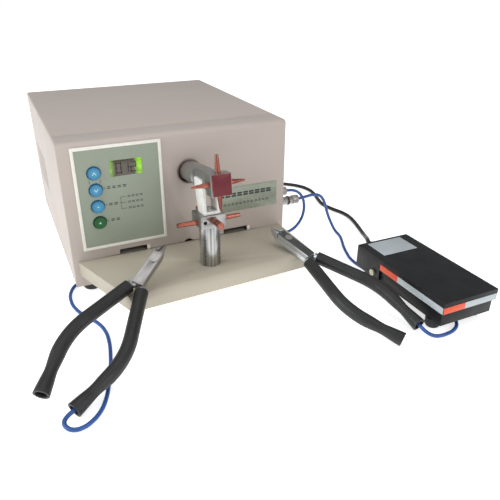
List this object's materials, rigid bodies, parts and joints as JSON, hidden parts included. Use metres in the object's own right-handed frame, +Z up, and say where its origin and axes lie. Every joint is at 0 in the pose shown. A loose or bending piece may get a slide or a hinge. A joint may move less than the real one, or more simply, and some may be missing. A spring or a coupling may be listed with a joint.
{
  "type": "bench spot welder",
  "caption": "Bench spot welder: sheet-metal cabinet, pressed-down electrode arm over a turning lower head, hand pliers on leads and a foot switch.",
  "frame": {"origin": "middle of the underside of the cabinet's front-left rubber foot, on the bench", "axes": "+X to the right seen from the front, +Y from the front to the back, +Z up"},
  "size_m": [0.438, 0.5285, 0.163],
  "materials": {
    "powder_coat": "fine textured powder coat, satin",
    "tray_coat": "fine textured powder coat, satin",
    "bare_sheet": "zinc plated",
    "chrome": "polished plating",
    "tool_steel": "ground and polished",
    "zinc": "zinc plated",
    "spring_steel": "oiled",
    "copper": "drawn copper",
    "enamelled_copper": "varnished winding",
    "laminations": "varnished steel sheets",
    "foot_rubber": "matt",
    "grip_sleeve": "matt black sleeve",
    "black_trim": "matt",
    "black_gloss": "moulded",
    "panel_cream": "moulded",
    "overlay_sage": "printed film",
    "plate_sage": "printed film",
    "lens_green": "lit display window",
    "button_blue": "moulded",
    "button_green": "moulded",
    "board_green": "lacquered board",
    "turret_red": "enamelled cover",
    "fork_white": "moulded",
    "rocker_red": "moulded",
    "post_red": "moulded",
    "lead_blue": "insulation",
    "cord_black": "jacket",
    "pedal_black": "black paint"
  },
  "bodies": {
    "cabinet": {"base_pan": "bare_sheet", "top_cover": "powder_coat", "front_panel": "powder_coat", "rear_panel": "powder_coat", "cabinet_feet": "foot_rubber", "case_screws": "zinc", "panel_frame": "panel_cream", "panel_overlay": "overlay_sage", "display_module": "black_trim", "display_lens": "lens_green", "circuit_boards": "board_green", "nameplate": "plate_sage", "arm_bush": "black_trim", "arm_bracket": "bare_sheet", "arm_pin": "zinc", "arm_spring": "spring_steel", "column": "chrome", "guide_fork": "fork_white", "column_fasteners": "zinc", "tray": "tray_coat", "busbars": "copper", "transformer_core": "laminations", "transformer_coils": "enamelled_copper", "mains_inlet": "black_gloss", "fuse_holder": "black_gloss", "switch_frame": "black_gloss", "post_bodies": "chrome", "post_caps": "post_red", "cord_glands": "black_trim", "right_lead": "lead_blue", "left_lead": "lead_blue", "pedal_cord": "cord_black", "left_jaw_fixed": "tool_steel", "left_grip_fixed": "grip_sleeve", "right_jaw_fixed": "tool_steel", "right_grip_fixed": "grip_sleeve", "plier_rivets": "tool_steel", "pedal_base": "pedal_black", "pedal_pivots": "zinc", "pedal_spring": "spring_steel", "pedal_switch": "black_trim", "pedal_feet": "foot_rubber"},
    "arm": {"upper_arm": "chrome", "arm_screw": "zinc"},
    "turret": {"turret_block": "chrome", "turret_face": "turret_red", "upper_electrodes": "copper"},
    "lower_turret": {"lower_block": "chrome", "lower_electrodes": "copper"},
    "button_1": {"button_1": "button_blue"},
    "button_2": {"button_2": "button_blue"},
    "button_3": {"button_3": "button_blue"},
    "button_4": {"button_4": "button_green"},
    "rocker": {"power_rocker": "rocker_red"},
    "foot_lid": {"pedal_lid": "pedal_black"},
    "left_plier_half": {"left_jaw_moving": "tool_steel", "left_grip_moving": "grip_sleeve"},
    "right_plier_half": {"right_jaw_moving": "tool_steel", "right_grip_moving": "grip_sleeve"}
  },
  "joints": [
    {"name": "arm_press", "type": "hinge", "parent": "cabinet", "child": "arm", "pos_m": [0.1095, -0.007, 0.1196], "axis": [1, 0, 0], "range_deg": [0, 6.6], "stiffness_Nm_per_rad": 2.5, "springref_deg": -17.19, "deforming": ["arm_spring"]},
    {"name": "turret_spin", "type": "hinge", "parent": "arm", "child": "turret", "pos_m": [0.1095, -0.09992, 0.13382], "axis": [0, -0.9885, 0.1513], "continuous": true},
    {"name": "lower_turret_spin", "type": "hinge", "parent": "cabinet", "child": "lower_turret", "pos_m": [0.1095, -0.073, 0.0825], "axis": [0, 0.0872, 0.9962], "continuous": true},
    {"name": "button_1_press", "type": "slide", "parent": "cabinet", "child": "button_1", "axis": [0, 1, 0], "range_m": [0, 0.0008], "stiffness_N_per_m": 400, "springref_m": -0.001},
    {"name": "button_2_press", "type": "slide", "parent": "cabinet", "child": "button_2", "axis": [0, 1, 0], "range_m": [0, 0.0008], "stiffness_N_per_m": 400, "springref_m": -0.001},
    {"name": "button_3_press", "type": "slide", "parent": "cabinet", "child": "button_3", "axis": [0, 1, 0], "range_m": [0, 0.0008], "stiffness_N_per_m": 400, "springref_m": -0.001},
    {"name": "button_4_press", "type": "slide", "parent": "cabinet", "child": "button_4", "axis": [0, 1, 0], "range_m": [0, 0.0008], "stiffness_N_per_m": 400, "springref_m": -0.001},
    {"name": "power_rocker_tilt", "type": "hinge", "parent": "cabinet", "child": "rocker", "pos_m": [0.0845, 0.2428, 0.047], "axis": [-1, 0, 0], "range_deg": [0, 18]},
    {"name": "foot_lid_press", "type": "hinge", "parent": "cabinet", "child": "foot_lid", "pos_m": [0.309, -0.126, 0.0166], "axis": [1, 0, 0], "range_deg": [0, 3], "stiffness_Nm_per_rad": 12, "springref_deg": -4.58, "deforming": ["pedal_spring"]},
    {"name": "left_plier_open", "type": "hinge", "parent": "cabinet", "child": "left_plier_half", "pos_m": [0.04849, -0.08124, 0.05798], "axis": [0, 0.4215, -0.9069], "range_deg": [0, 25]},
    {"name": "right_plier_open", "type": "hinge", "parent": "cabinet", "child": "right_plier_half", "pos_m": [0.19389, -0.08172, 0.05046], "axis": [-0.0326, 0.2825, -0.9587], "range_deg": [0, 25]}
  ]
}
